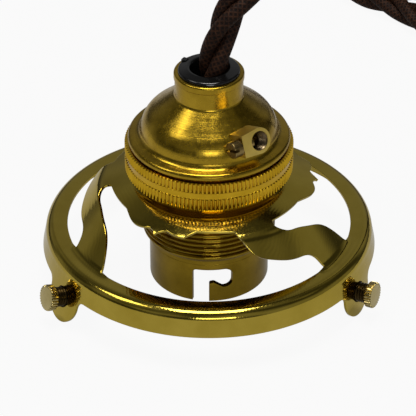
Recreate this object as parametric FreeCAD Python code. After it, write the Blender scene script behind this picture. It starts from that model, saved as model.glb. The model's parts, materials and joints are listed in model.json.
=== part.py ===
import FreeCAD, Part
import math
import os

# Bayonet lampholder with a pressed three-arm gallery, a knurled collar, an earthed brass cap and
# a braided twisted flex. Millimetres, +Z up. The origin is the centre of the barrel's open mouth,
# with the lamp entering upwards along +Z.

V = FreeCAD.Vector
UP = V(0, 0, 1)
os.makedirs("parts", exist_ok=True)

# Barrel: plain lower end with two bayonet slots, threaded upper end, turned-out top flange
lamp_bore_radius = 11.7
barrel_wall = 1.1
thread_radius = 14.2
thread_wall = 1.2
plain_length = 11.7
step_height = 1.2
barrel_length = 27.9
flange_thickness = 0.95
flange_reach = 1.5

# Bayonet slots, measured along the wall from the slot's own reference line and up from the mouth
slot_azimuth = 268.0
slot_leg_left = -3.1
slot_leg_right = 0.45
slot_top = 8.05
slot_lip_top = 4.65
slot_pocket_left = 1.5
slot_pocket_floor = 3.6
slot_end = 5.5
slot_corner_radius = 0.9

# Knurled collar: a union ring that traps the barrel's flange and screws on the cap's spigot
collar_height = 7.1
collar_radius = 17.8
collar_foot_radius = 17.35
collar_foot_height = 0.6
collar_lip_thickness = 0.9
knurl_low_height = 2.7
knurl_gap_height = 1.4
knurl_high_height = 2.3
knurl_count = 126
knurl_depth = 0.28
running_gap = 0.08
face_gap = 0.05

# Cap: spun dome with a neck and a rolled rim
spigot_radius = 16.0
spigot_wall = 1.0
cap_flange_radius = 17.1
cap_wall = 0.95
dome_foot_radius = 14.6
dome_foot_rise = 1.9
dome_shoulder_radius = 14.0
dome_shoulder_rise = 5.7
dome_shoulder_round = 6.0
neck_radius = 7.15
neck_foot_rise = 11.05
rim_radius = 7.35
rim_height = 1.5
cap_height = 16.5

# Cord bush in the neck
bush_hole_radius = 3.9
bush_stem_length = 5.0
bush_crown_height = 1.2
bush_crown_radius = 6.56
bush_key_size = 1.1
bush_key_azimuth = 148.0

# Insulating contact block, plungers, springs and terminals
block_flange_thickness = 1.6
block_stem_length = 11.4
block_top_rise = 3.4
block_top_radius = 12.2
contact_azimuth = 16.0
contact_offset = 4.4
plunger_radius = 2.3
plunger_nose_radius = 1.95
plunger_stop_thickness = 1.1
plunger_length = 8.0
plunger_tip_drop = 15.7
plunger_travel = 3.3
spring_space = 5.2
spring_mean_radius = 1.5
spring_wire_radius = 0.24
spring_turns = 4
terminal_width = 5.2
terminal_height = 6.2
terminal_wire_hole_radius = 1.15
terminal_hole_inset = 0.6
terminal_screw_radius = 1.25
terminal_head_radius = 2.0
terminal_head_height = 1.5
terminal_screw_length = 3.6
core_radius = 1.0

# Gallery: one pressed sheet with a hub, three arms, a ring, a skirt and three tabs
sheet = 0.9
hub_clearance = 0.15
hub_land_radius = 15.6
hub_cone_top_radius = 16.9
hub_cone_drop = 1.0
hub_edge_radius = 23.3
hub_edge_drop = 3.15
ring_top = 12.9
hub_scallop_radius = 20.8
arm_foot_radius = 30.6
arm_foot_overhang = 0.2
ring_width = 4.35
skirt_crease_flare = 0.2
skirt_crease_drop = 2.2
skirt_foot_flare = 0.65
skirt_depth = 5.4
arm_count = 3
first_tab_azimuth = 91.5
tab_leans = (10.0, 15.0, 5.0)
tab_width = 10.7
tab_length = 7.3
tab_fillet = 1.8

# Thumb screws in the tabs
thumb_axis_drop = 1.8
thumb_shank_radius = 2.1
thumb_thread_length = 8.0
thumb_head_radius = 2.75
thumb_head_height = 1.3
thumb_stand_off = 2.6
thumb_knurl_count = 28
thumb_knurl_depth = 0.22
tapped_neck_radius = 3.0
tapped_neck_inside = 0.9
tapped_neck_outside = 0.5

# Shade ring that clamps the gallery against the collar from below
ring_nut_radius = 17.4
ring_nut_height = 3.3
ring_nut_flutes = 40
ring_nut_flute_radius = 0.55
ring_nut_flute_depth = 0.3
ring_nut_chamfer = 1.6
ring_nut_land_inset = 0.6

# Earth terminal on the dome
earth_azimuth = -52.0
earth_tilt = 20.0
earth_face_radius = 15.85
earth_face_rise = 6.98
earth_width = 5.5
earth_flat_distance = 4.2
earth_depth = 7.0
earth_hole_radius = 2.05
earth_hole_depth = 5.0
earth_stem_radius = 2.6
earth_stem_length = 7.8
earth_screw_radius = 1.0
earth_screw_depth = 1.1
earth_screw_head_radius = 1.8
earth_screw_head_height = 2.0
earth_screw_gap = 0.5
earth_screw_slot = 0.6
earth_seat_gap = 0.05

# Heights and radii that follow from the sizes above
barrel_flange_bottom = barrel_length - flange_thickness
collar_bottom = barrel_flange_bottom - face_gap - collar_lip_thickness
collar_top = collar_bottom + collar_height
spigot_bottom = barrel_length + block_flange_thickness
cap_bottom = collar_top + face_gap
cap_top = cap_bottom + cap_height
hub_top = collar_bottom - 2 * face_gap
hub_hole_radius = thread_radius + hub_clearance
block_face_height = barrel_length - block_stem_length
plunger_tip_height = barrel_length - plunger_tip_drop
ring_inner_radius = arm_foot_radius - arm_foot_overhang
ring_shoulder_radius = arm_foot_radius + ring_width
skirt_crease_radius = ring_shoulder_radius + skirt_crease_flare
skirt_foot_radius = skirt_crease_radius + skirt_foot_flare

# Flex: three braided cores, twisted. The route's points are chosen by hand.
flex_radius = 3.4
floor_height = 0.0
flex_lie = floor_height + flex_radius
flex_route = [
    V(0.7, 0.2, cap_top - bush_stem_length - 0.05),
    V(1.2, 0.4, cap_top + 5.35),
    V(4.6, 2.2, cap_top + 13.95),
    V(13.0, 6.0, cap_top + 21.95),
    V(25.0, 11.0, cap_top + 27.85),
    V(40.5, 18.0, cap_top + 28.85),
    V(54.5, 26.0, cap_top + 22.35),
    V(65.0, 35.0, cap_top + 8.85),
    V(71.5, 45.0, cap_top - 8.15),
    V(74.5, 56.0, 24.0),
    V(74.0, 67.0, 9.5),
    V(69.5, 78.0, flex_lie + 0.6),
    V(61.8, 90.5, flex_lie),
    V(54.0, 102.0, flex_lie),
    V(46.6, 111.2, flex_lie),
]
hank_centre = V(55.8, 135.0, 0)
hank_straight = 26.0
hank_mid_radius = 21.0
hank_turns_across = 2
core_end_radius = 0.9
core_end_length = 14.0
core_end_angles = (128.0, 144.0, 160.0)


def polar(radius, azimuth, height=0.0):
    angle = math.radians(azimuth)
    return V(radius * math.cos(angle), radius * math.sin(angle), height)


def turned(point, azimuth):
    """A point or direction turned about the Z axis."""
    rotation = FreeCAD.Rotation(UP, azimuth)
    return rotation.multVec(point)


def rounded_edges(corners, closed):
    """Straight edges joined by tangent arcs; each corner is (point, radius)."""
    count = len(corners)
    starts = []
    ends = []
    arcs = []
    for index, (point, radius) in enumerate(corners):
        inner = closed or 0 < index < count - 1
        before = corners[index - 1][0]
        after = corners[(index + 1) % count][0]
        if not inner or radius <= 0:
            starts.append(point)
            ends.append(point)
            arcs.append(None)
            continue
        to_before = (before - point).normalize()
        to_after = (after - point).normalize()
        half = to_before.getAngle(to_after) / 2
        reach = radius / math.tan(half)
        bisector = (to_before + to_after).normalize()
        middle = point + bisector * (radius / math.sin(half) - radius)
        starts.append(point + to_before * reach)
        ends.append(point + to_after * reach)
        arcs.append(middle)
    edges = []
    for index in range(count):
        if arcs[index] is not None:
            edges.append(Part.Arc(starts[index], arcs[index], ends[index]).toShape())
        following = (index + 1) % count
        if following == 0 and not closed:
            break
        if ends[index].distanceToPoint(starts[following]) > 1e-6:
            edges.append(Part.LineSegment(ends[index], starts[following]).toShape())
    return edges


def revolved(corners):
    """A solid of revolution from (radius, height, corner radius) corners, closed on itself."""
    points = [(V(r, 0, z), rounding) for r, z, rounding in corners]
    wire = Part.Wire(rounded_edges(points, True))
    return Part.Face(wire).revolve(V(0, 0, 0), UP, 360)


def tube(outer, inner, bottom, top):
    outside = Part.makeCylinder(outer, top - bottom, V(0, 0, bottom))
    return outside.cut(Part.makeCylinder(inner, top - bottom + 2, V(0, 0, bottom - 1)))


def toothed_disc(tip_radius, depth, teeth, bottom, top, flat=0.3):
    """A disc with straight knurling: a tooth has a narrow flat land and V flanks."""
    points = []
    pitch = 360.0 / teeth
    for tooth in range(teeth):
        start = tooth * pitch
        points.append(polar(tip_radius, start, bottom))
        points.append(polar(tip_radius, start + flat * pitch, bottom))
        points.append(polar(tip_radius - depth, start + (1 + flat) / 2 * pitch, bottom))
    points.append(points[0])
    face = Part.Face(Part.makePolygon(points))
    return face.extrude(V(0, 0, top - bottom))


def fused(shapes):
    whole = shapes[0].multiFuse(shapes[1:])
    return whole.removeSplitter()


def placed_on_axis(shape, origin, direction):
    """Moves a shape drawn along +Z from the origin onto an axis."""
    moved = shape.copy()
    moved.Placement = FreeCAD.Placement(origin, FreeCAD.Rotation(UP, direction))
    return moved


def slotted_screw(head_radius, head_height, shank_radius, length, slot):
    """A cheese-head screw along +Z: the shank's end at the origin, the head on top."""
    shank = Part.makeCylinder(shank_radius, length)
    head = Part.makeCylinder(head_radius, head_height, V(0, 0, length))
    rim = [edge for edge in head.Edges if abs(edge.BoundBox.ZMin - length - head_height) < 1e-6]
    head = head.makeFillet(0.12 * head_radius, [edge for edge in rim if edge.Closed])
    cut_depth = 0.45 * head_height
    cutter = Part.makeBox(3 * head_radius, slot, head_height)
    cutter.translate(V(-1.5 * head_radius, -slot / 2, length + head_height - cut_depth))
    return fused([shank, head]).cut(cutter)


def round_path(points):
    """Straight runs joined by tangent arcs, each as large as its two runs allow."""
    corners = []
    radii = []
    for index, point in enumerate(points):
        if index in (0, len(points) - 1):
            corners.append((point, 0))
            continue
        run_in = point - points[index - 1]
        run_out = points[index + 1] - point
        half_turn = run_in.getAngle(run_out) / 2
        radius = 0.45 * min(run_in.Length, run_out.Length) / math.tan(half_turn)
        radii.append(radius)
        corners.append((point, radius))
    return Part.Wire(rounded_edges(corners, False)), radii


def swept_tube(points, radius):
    path, radii = round_path(points)
    start = points[0]
    direction = (points[1] - points[0]).normalize()
    section = Part.Wire(Part.makeCircle(radius, start, direction))
    solid = Part.Wire(path).makePipeShell([section], True, False)
    return solid, path.Length, radii


def slot_cutter(azimuth):
    """One J-shaped bayonet slot: leg, run, and the pocket that the lamp's pin drops into."""
    wall_radius = lamp_bore_radius + barrel_wall
    below = -1.0
    outline = [
        (V(slot_leg_left, 0, below), 0),
        (V(slot_leg_left, 0, slot_top), slot_corner_radius),
        (V(slot_end, 0, slot_top), slot_corner_radius + 0.3),
        (V(slot_end, 0, slot_pocket_floor), slot_corner_radius + 0.6),
        (V((slot_pocket_left + slot_end) / 2, 0, slot_pocket_floor - 0.15), slot_corner_radius),
        (V(slot_pocket_left, 0, slot_lip_top + 0.15), slot_corner_radius),
        (V(slot_leg_right, 0, slot_lip_top - 0.1), 0.4),
        (V(slot_leg_right, 0, below), 0),
    ]
    face = Part.Face(Part.Wire(rounded_edges(outline, True)))
    prism = face.extrude(V(0, -2 * wall_radius, 0))
    prism.rotate(V(0, 0, 0), UP, azimuth - 270)
    return prism


def make_barrel():
    wall_radius = lamp_bore_radius + barrel_wall
    upper_bore = thread_radius - thread_wall
    flange_radius = thread_radius + flange_reach
    body = revolved([
        (lamp_bore_radius, 0, 0),
        (wall_radius, 0, 0.3),
        (wall_radius, plain_length - step_height, 0.8),
        (thread_radius, plain_length, 0.3),
        (thread_radius, barrel_flange_bottom, 0.2),
        (flange_radius, barrel_flange_bottom, 0.2),
        (flange_radius, barrel_length, 0.2),
        (upper_bore, barrel_length, 0.2),
        (upper_bore, plain_length + barrel_wall, 0.3),
        (lamp_bore_radius, plain_length + barrel_wall - step_height, 0.5),
    ])
    for azimuth in (slot_azimuth, slot_azimuth + 180):
        body = body.cut(slot_cutter(azimuth))
    return body


def make_collar():
    bore = hub_hole_radius
    thread_bore = spigot_radius + running_gap
    low_bottom = collar_bottom + collar_foot_height
    gap_bottom = low_bottom + knurl_low_height
    high_bottom = gap_bottom + knurl_gap_height
    high_top = high_bottom + knurl_high_height
    core_radius_here = collar_radius - knurl_depth
    foot = revolved([
        (bore, collar_bottom, 0),
        (collar_foot_radius, collar_bottom, 0.25),
        (core_radius_here, low_bottom, 0),
        (bore, low_bottom, 0),
    ])
    low = toothed_disc(collar_radius, knurl_depth, knurl_count, low_bottom, gap_bottom)
    gap = Part.makeCylinder(core_radius_here, knurl_gap_height, V(0, 0, gap_bottom))
    high = toothed_disc(collar_radius, knurl_depth, knurl_count, high_bottom, high_top)
    crown = Part.makeCone(core_radius_here, cap_flange_radius, collar_top - high_top, V(0, 0, high_top))
    body = fused([foot, low, gap, high, crown])
    lip_hole = Part.makeCylinder(bore, 3 * collar_lip_thickness, V(0, 0, collar_bottom - collar_lip_thickness))
    thread_hole = Part.makeCylinder(thread_bore, collar_height, V(0, 0, collar_bottom + collar_lip_thickness))
    return body.cut(lip_hole).cut(thread_hole)


def dome_corners():
    """Outer corners of the cap from the flange up to the rim."""
    z = cap_bottom
    rim_bottom = z + cap_height - rim_height
    return [
        (cap_flange_radius, z, 0.15),
        (cap_flange_radius, z + 1.45, 0.8),
        (dome_foot_radius, z + dome_foot_rise, 1.5),
        (dome_shoulder_radius, z + dome_shoulder_rise, dome_shoulder_round),
        (neck_radius, z + neck_foot_rise, 0.9),
        (neck_radius, rim_bottom - 0.15, 0),
        (rim_radius, rim_bottom + 0.05, 0.15),
        (rim_radius, z + cap_height, 0.45),
    ]


def make_cap():
    z = cap_bottom
    outside = dome_corners()
    inside = [
        (neck_radius - cap_wall, z + cap_height, 0.2),
        (neck_radius - cap_wall, z + neck_foot_rise - 0.75, 1.0),
        (dome_shoulder_radius - cap_wall, z + dome_shoulder_rise - 0.6, dome_shoulder_round - cap_wall),
        (dome_foot_radius - cap_wall, z + 0.9, 0.5),
        (spigot_radius - spigot_wall, z - 0.2, 0.2),
        (spigot_radius - spigot_wall, spigot_bottom, 0),
        (spigot_radius, spigot_bottom, 0.2),
        (spigot_radius, z, 0),
    ]
    body = revolved(outside + inside)
    stem_hole = Part.makeCylinder(earth_stem_radius + face_gap, 4 * earth_depth)
    stem_hole = placed_on_axis(stem_hole, V(0, 0, 0), earth_normal())
    stem_hole.translate(earth_centre() - earth_normal() * 2 * earth_depth)
    return body.cut(stem_hole)


def make_bush():
    top = cap_top
    stem_radius = neck_radius - cap_wall - 0.05
    body = revolved([
        (bush_hole_radius, top - bush_stem_length, 0.3),
        (stem_radius, top - bush_stem_length, 0.3),
        (stem_radius, top + 0.05, 0),
        (bush_crown_radius, top + 0.05, 0.15),
        (bush_crown_radius - 0.25, top + 0.6, 0.5),
        (bush_hole_radius, top + bush_crown_height, 0.6),
    ])
    key = Part.makeBox(bush_key_size, bush_key_size, 0.9)
    key.translate(V(bush_crown_radius - bush_key_size - 0.1, -bush_key_size / 2, top + 0.1))
    key.rotate(V(0, 0, 0), UP, bush_key_azimuth)
    return fused([body, key])


def contact_points():
    names = ("live", "neutral")
    return [(name, contact_azimuth + 180 * index) for index, name in enumerate(names)]


def make_contact_block():
    upper_bore = thread_radius - thread_wall
    flange_radius = thread_radius + flange_reach
    bottom = barrel_length
    top = bottom + block_flange_thickness + block_top_rise
    body = revolved([
        (0, block_face_height, 0),
        (upper_bore - 0.1, block_face_height, 0.6),
        (upper_bore - 0.1, bottom, 0),
        (flange_radius, bottom, 0.1),
        (flange_radius, bottom + block_flange_thickness, 0.1),
        (block_top_radius, bottom + block_flange_thickness, 0.3),
        (block_top_radius, top, 0.6),
        (0, top, 0),
    ])
    for name, azimuth in contact_points():
        centre = polar(contact_offset, azimuth)
        nose_hole = Part.makeCylinder(plunger_nose_radius + running_gap, 3 * plunger_stop_thickness)
        nose_hole.translate(V(centre.x, centre.y, block_face_height - plunger_stop_thickness))
        hole = Part.makeCylinder(plunger_radius + running_gap, spring_top() - plunger_stop_height())
        hole.translate(V(centre.x, centre.y, plunger_stop_height()))
        body = body.cut(nose_hole.fuse(hole))
        side = terminal_width + 2 * face_gap
        head_room = terminal_head_radius + 0.25
        pocket = Part.makeBox(side, side, top)
        pocket.translate(V(-side / 2, -side / 2, spring_top()))
        channel = Part.makeBox(block_top_radius - contact_offset + 0.8, 2 * head_room, top)
        channel.translate(V(0, -head_room, spring_top() + terminal_screw_height() - head_room))
        pocket = pocket.fuse(channel)
        pocket.rotate(V(0, 0, 0), UP, azimuth)
        pocket.translate(centre)
        body = body.cut(pocket)
    return body


def plunger_stop_height():
    """Top of the block's lip that stops a plunger's shoulder."""
    return block_face_height + plunger_stop_thickness


def spring_top():
    return plunger_tip_height + plunger_length + spring_space


def make_plunger(azimuth):
    centre = polar(contact_offset, azimuth)
    body = revolved([
        (0, plunger_tip_height, 0),
        (plunger_nose_radius, plunger_tip_height, 0.6),
        (plunger_nose_radius, plunger_stop_height() + face_gap, 0),
        (plunger_radius, plunger_stop_height() + face_gap, 0),
        (plunger_radius, plunger_tip_height + plunger_length, 0.2),
        (0, plunger_tip_height + plunger_length, 0),
    ])
    body.translate(centre)
    return body


def make_spring(azimuth):
    """A closed wire coil standing between the plunger and the terminal's floor."""
    free = spring_space - 2 * spring_wire_radius - 0.1
    helix = Part.makeHelix(free / spring_turns, free, spring_mean_radius)
    section = Part.Wire(Part.makeCircle(spring_wire_radius, V(spring_mean_radius, 0, 0), V(0, 1, 0)))
    coil = Part.Wire(helix).makePipeShell([section], True, True)
    bottom = plunger_tip_height + plunger_length + spring_wire_radius + 0.05
    coil.translate(polar(contact_offset, azimuth, bottom))
    return coil


def terminal_screw_height():
    """Height of the clamping screw above the terminal's foot."""
    return terminal_height - 2.1


def terminal_hole_point(azimuth):
    """Where the core ends, inside the terminal's wire hole."""
    height = spring_top() + terminal_screw_height() + terminal_screw_radius
    return polar(contact_offset - terminal_hole_inset, azimuth, height)


def make_terminal(azimuth):
    body = Part.makeBox(terminal_width, terminal_width, terminal_height)
    body.translate(V(-terminal_width / 2, -terminal_width / 2, 0))
    body = body.makeFillet(0.3, [edge for edge in body.Edges if edge.BoundBox.ZLength > 1])
    wire_hole = Part.makeCylinder(terminal_wire_hole_radius, terminal_height, V(-terminal_hole_inset, 0, 2.2))
    hole_start = V(-terminal_hole_inset - 0.3, 0, terminal_screw_height())
    screw_hole = Part.makeCylinder(
        terminal_screw_radius + 0.02, terminal_width, hole_start, V(1, 0, 0))
    body = body.cut(wire_hole).cut(screw_hole)
    body.rotate(V(0, 0, 0), UP, azimuth)
    body.translate(polar(contact_offset, azimuth, spring_top()))
    return body


def make_terminal_screw(azimuth):
    screw = slotted_screw(
        terminal_head_radius, terminal_head_height, terminal_screw_radius, terminal_screw_length, 0.5)
    inner_end = terminal_width / 2 + 0.3 - terminal_screw_length
    height = spring_top() + terminal_screw_height()
    screw = placed_on_axis(screw, V(inner_end, 0, height), V(1, 0, 0))
    screw.rotate(V(0, 0, 0), UP, azimuth)
    screw.translate(polar(contact_offset, azimuth))
    return screw


def skirt_slope():
    """Angle of the flared skirt from the vertical, in radians."""
    return math.atan((skirt_foot_radius - skirt_crease_radius) / (skirt_depth - skirt_crease_drop))


def gallery_strip():
    """The pressed sheet's section from the hub's hole to the foot of the skirt."""
    hub_edge_height = hub_top - hub_edge_drop
    crease_height = ring_top - skirt_crease_drop
    skirt_foot = ring_top - skirt_depth
    top_line = [
        (hub_hole_radius, hub_top, 0),
        (hub_land_radius, hub_top, 1.2),
        (hub_cone_top_radius, hub_top - hub_cone_drop, 1.5),
        (hub_edge_radius, hub_edge_height, 4.0),
        (arm_foot_radius, ring_top, 2.6),
        (ring_shoulder_radius, ring_top, 1.5),
        (skirt_crease_radius, crease_height, 0),
        (skirt_foot_radius + sheet * math.tan(skirt_slope()), skirt_foot - sheet, 0),
    ]
    under_line = offset_line(top_line, sheet)
    whole = revolved(top_line + under_line[::-1])
    below = Part.makeCylinder(2 * skirt_foot_radius, 4 * sheet, V(0, 0, skirt_foot - 4 * sheet))
    return whole.cut(below)


def offset_line(line, distance):
    """The same line, moved to its right-hand side by the sheet's thickness, radii adjusted."""
    count = len(line)
    moved = []
    for index, (r, z, rounding) in enumerate(line):
        point = V(r, 0, z)
        before = point - V(line[index - 1][0], 0, line[index - 1][1]) if index > 0 else None
        after = V(line[index + 1][0], 0, line[index + 1][1]) - point if index < count - 1 else None
        before = before or after
        after = after or before
        normal_before = V(before.z, 0, -before.x).normalize()
        normal_after = V(after.z, 0, -after.x).normalize()
        if normal_before.x < 0 and normal_before.z > 0:
            normal_before = normal_before * -1
        middle = (normal_before + normal_after).normalize()
        step = -distance / middle.dot(normal_before)
        turn_right = before.x * after.z - before.z * after.x < 0
        new_rounding = rounding
        if rounding > 0:
            new_rounding = rounding - distance if turn_right else rounding + distance
        target = point - middle * step
        moved.append((target.x, target.z, max(new_rounding, 0.15) if rounding > 0 else 0))
    return moved


def in_gap(azimuth, reach):
    radius = hub_scallop_radius + reach * (ring_inner_radius - hub_scallop_radius)
    return polar(radius, azimuth)


def spline(points):
    curve = Part.BSplineCurve()
    curve.interpolate([in_gap(azimuth, reach) for azimuth, reach in points])
    return curve.toShape()


def arc3(first, middle, last):
    ends = [in_gap(azimuth, reach) for azimuth, reach in (first, middle, last)]
    return Part.Arc(*ends).toShape()


def window_face():
    """Plan of the gap between two arms, as (azimuth, reach) points for the front-left gap.

    A reach of 0 is the hub's scallop radius, and 1 is the inner edge of the ring.

    It follows the ring, the outer edge of the next arm, the hub's scalloped edge with its
    two pointed lobes, and the inner edge of the arm before.
    """
    ring_start = (222.6, 1)
    ring_end = (322.6, 1)
    root = (284.4, 0.042)
    dip = (263.0, 0.000)
    lobe_tip = (256.6, 0.188)
    valley = (246.2, 0.094)
    horn_tip = (240.5, 0.260)
    notch = (235.4, 0.146)
    shoulder_end = (214.0, 0.010)
    corner = (188.6, 0.021)
    edges = [
        arc3(ring_start, (272.6, 1), ring_end),
        spline([ring_end, (321.2, 0.854), (312.0, 0.719), (300.0, 0.615), (291.5, 0.479), (287.0, 0.271), root]),
        arc3(root, (274.0, 0.010), dip),
        arc3(dip, (260.0, 0.083), lobe_tip),
        arc3(lobe_tip, (251.6, 0.167), valley),
        arc3(valley, (243.6, 0.146), horn_tip),
        arc3(horn_tip, (238.2, 0.167), notch),
        spline([notch, (231.5, 0.198), (226.0, 0.198), (220.5, 0.115), shoulder_end]),
        arc3(shoulder_end, (201.0, 0.010), corner),
        spline([corner, (187.4, 0.146), (191.0, 0.302), (198.0, 0.365), (207.0, 0.448),
                (214.5, 0.562), (219.6, 0.771), ring_start]),
    ]
    return Part.Face(Part.Wire(edges))


def tab_outline():
    """Face of a rounded tongue with filleted roots: X across the tab, Y up from its root line."""
    half = tab_width / 2
    centre = half - tab_length
    fillet = min(tab_fillet, -0.95 * centre)
    root = half + fillet
    turn = fillet * math.sin(math.pi / 4)
    edges = [
        Part.LineSegment(V(root, 1, 0), V(root, 0, 0)),
        Part.Arc(V(root, 0, 0), V(root - turn, turn - fillet, 0), V(half, -fillet, 0)),
        Part.LineSegment(V(half, -fillet, 0), V(half, centre, 0)),
        Part.Arc(V(half, centre, 0), V(0, -tab_length, 0), V(-half, centre, 0)),
        Part.LineSegment(V(-half, centre, 0), V(-half, -fillet, 0)),
        Part.Arc(V(-half, -fillet, 0), V(turn - root, turn - fillet, 0), V(-root, 0, 0)),
        Part.LineSegment(V(-root, 0, 0), V(-root, 1, 0)),
        Part.LineSegment(V(-root, 1, 0), V(root, 1, 0)),
    ]
    return Part.Face(Part.Wire([edge.toShape() for edge in edges]))


def tab_placement(azimuth, lean):
    """Local X across the tab, Y up in its plane, Z outwards; the origin is on the skirt's foot."""
    tilt = math.radians(lean)
    flat = polar(math.cos(tilt), azimuth)
    outwards = V(flat.x, flat.y, math.sin(tilt))
    rotation = FreeCAD.Rotation(polar(1.0, azimuth + 90), V(0, 0, 0), outwards, "ZXY")
    return FreeCAD.Placement(polar(skirt_foot_radius, azimuth, ring_top - skirt_depth), rotation)


def make_tab(azimuth, lean):
    """A leaning cone of sheet below the skirt's foot, kept inside the tongue's outline."""
    tilt = math.radians(lean)
    foot = ring_top - skirt_depth
    reach = tab_length + 1
    outer = (skirt_foot_radius + reach * math.sin(tilt), foot - reach * math.cos(tilt))
    cone = revolved([
        (skirt_foot_radius, foot, 0),
        (outer[0], outer[1], 0),
        (outer[0] - sheet * math.cos(tilt), outer[1] - sheet * math.sin(tilt), 0),
        (skirt_foot_radius - sheet / math.cos(skirt_slope()), foot, 0),
    ])
    tongue = tab_outline().extrude(V(0, 0, 4 * tab_width))
    tongue.translate(V(0, 0, -2 * tab_width))
    tongue.Placement = tab_placement(azimuth, lean).multiply(tongue.Placement)
    return cone.common(tongue)


def tab_places():
    """Azimuth and lean of each tab."""
    step = 360.0 / arm_count
    return [(first_tab_azimuth + step * index, lean) for index, lean in enumerate(tab_leans)]


def make_gallery():
    body = gallery_strip()
    opening = window_face().extrude(V(0, 0, hub_top + 2))
    for index in range(arm_count):
        cutter = opening.copy()
        cutter.rotate(V(0, 0, 0), UP, 360.0 * index / arm_count)
        body = body.cut(cutter)
    for azimuth, lean in tab_places():
        body = body.fuse(make_tab(azimuth, lean))
    for azimuth, lean in tab_places():
        placement = tab_placement(azimuth, lean)
        inside = sheet + tapped_neck_inside
        neck = Part.makeCylinder(tapped_neck_radius, inside + tapped_neck_outside, V(0, -thumb_axis_drop, -inside))
        hole = Part.makeCylinder(
            thumb_shank_radius + running_gap, 4 * inside, V(0, -thumb_axis_drop, -2 * inside))
        neck.Placement = placement.multiply(neck.Placement)
        hole.Placement = placement.multiply(hole.Placement)
        body = body.fuse(neck).cut(hole)
    return body.removeSplitter()


def make_thumb_screw(azimuth, lean):
    """Drawn along +Z from the tip, then laid on the tab's axis."""
    shank = Part.makeCylinder(thumb_shank_radius, thumb_thread_length)
    tip_edge = [edge for edge in shank.Edges if edge.Closed and edge.BoundBox.ZMax < 1e-6]
    shank = shank.makeChamfer(0.35, tip_edge)
    head_bottom = thumb_thread_length
    head_top = head_bottom + thumb_head_height
    knurled = toothed_disc(thumb_head_radius, thumb_knurl_depth, thumb_knurl_count, head_bottom, head_top, 0.35)
    envelope = revolved([
        (0, head_bottom, 0),
        (thumb_head_radius, head_bottom, 0.2),
        (thumb_head_radius, head_top - 0.2, 0.25),
        (0, head_top, 0),
    ])
    screw = fused([shank, knurled.common(envelope)])
    screw.translate(V(0, -thumb_axis_drop, thumb_stand_off - thumb_thread_length))
    screw.Placement = tab_placement(azimuth, lean).multiply(screw.Placement)
    return screw


def make_shade_ring():
    seat = hub_top - sheet - face_gap
    rim_top = seat - ring_nut_chamfer
    body = revolved([
        (hub_hole_radius, seat - ring_nut_height, 0.2),
        (ring_nut_radius, seat - ring_nut_height, 0.3),
        (ring_nut_radius, rim_top, 0.3),
        (hub_land_radius - ring_nut_land_inset, seat, 0.3),
        (hub_hole_radius, seat, 0.2),
    ])
    flutes = []
    flute_centre = ring_nut_radius + ring_nut_flute_radius - ring_nut_flute_depth
    for index in range(ring_nut_flutes):
        centre = polar(flute_centre, 360.0 * index / ring_nut_flutes, seat - ring_nut_height - 1)
        flutes.append(Part.makeCylinder(ring_nut_flute_radius, ring_nut_height + 2, centre))
    return body.cut(Part.makeCompound(flutes))


def earth_normal():
    tilt = math.radians(earth_tilt)
    flat = polar(math.cos(tilt), earth_azimuth)
    return V(flat.x, flat.y, math.sin(tilt))


def earth_side():
    """Unit vector along the dome, away from the clamp screw's side."""
    return polar(1.0, earth_azimuth + 90)


def earth_centre():
    """Centre of the wire hole in the terminal's outer face."""
    return polar(earth_face_radius, earth_azimuth, cap_bottom + earth_face_rise) + earth_side() * 0.8


def earth_placement():
    """Local X along the dome, local Z out of the dome."""
    rotation = FreeCAD.Rotation(earth_side(), V(0, 0, 0), earth_normal(), "ZXY")
    return FreeCAD.Placement(earth_centre(), rotation)


def make_earth_terminal():
    half = earth_width / 2
    outline = [
        Part.LineSegment(V(0, -half, 0), V(-earth_flat_distance, -half + 0.4, 0)),
        Part.LineSegment(V(-earth_flat_distance, -half + 0.4, 0), V(-earth_flat_distance, half - 0.4, 0)),
        Part.LineSegment(V(-earth_flat_distance, half - 0.4, 0), V(0, half, 0)),
        Part.Arc(V(0, half, 0), V(half, 0, 0), V(0, -half, 0)),
    ]
    face = Part.Face(Part.Wire([piece.toShape() for piece in outline]))
    block = face.extrude(V(0, 0, -earth_depth))
    hole_start = V(-earth_flat_distance - 1, 0, -earth_screw_depth)
    screw_hole = Part.makeCylinder(
        earth_screw_radius + running_gap, earth_flat_distance + 1, hole_start, V(1, 0, 0))
    block.Placement = earth_placement()
    stem = Part.makeCylinder(earth_stem_radius, earth_stem_length, V(0, 0, -earth_stem_length))
    wire_hole = Part.makeCylinder(earth_hole_radius, earth_hole_depth + 1, V(0, 0, -earth_hole_depth))
    stem.Placement = earth_placement()
    wire_hole.Placement = earth_placement()
    screw_hole.Placement = earth_placement()
    return fused([block.cut(dome_envelope()), stem]).cut(wire_hole).cut(screw_hole)


def dome_envelope():
    """The dome's outside as a filled body, larger by the terminal's seat gap."""
    z = cap_bottom
    gap = earth_seat_gap
    corners = [
        (0, z, 0),
        (cap_flange_radius + gap, z, 0),
        (cap_flange_radius + gap, z + 1.45 + gap, 0.8),
        (dome_foot_radius + gap, z + dome_foot_rise + gap, 1.5),
        (dome_shoulder_radius + gap, z + dome_shoulder_rise + gap, dome_shoulder_round),
        (neck_radius + gap, z + neck_foot_rise + gap, 0.9),
        (neck_radius + gap, z + cap_height, 0),
        (0, z + cap_height, 0),
    ]
    return revolved(corners)


def make_earth_screw():
    length = earth_flat_distance - earth_hole_radius + 1.2
    screw = slotted_screw(
        earth_screw_head_radius, earth_screw_head_height, earth_screw_radius, length, earth_screw_slot)
    start = V(-earth_flat_distance - earth_screw_gap + length, 0, -earth_screw_depth)
    screw = placed_on_axis(screw, start, V(-1, 0, 0))
    screw.Placement = earth_placement().multiply(screw.Placement)
    return screw


def make_core(start, end):
    direction = end - start
    return Part.makeCylinder(core_radius, direction.Length, start, direction)


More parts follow.
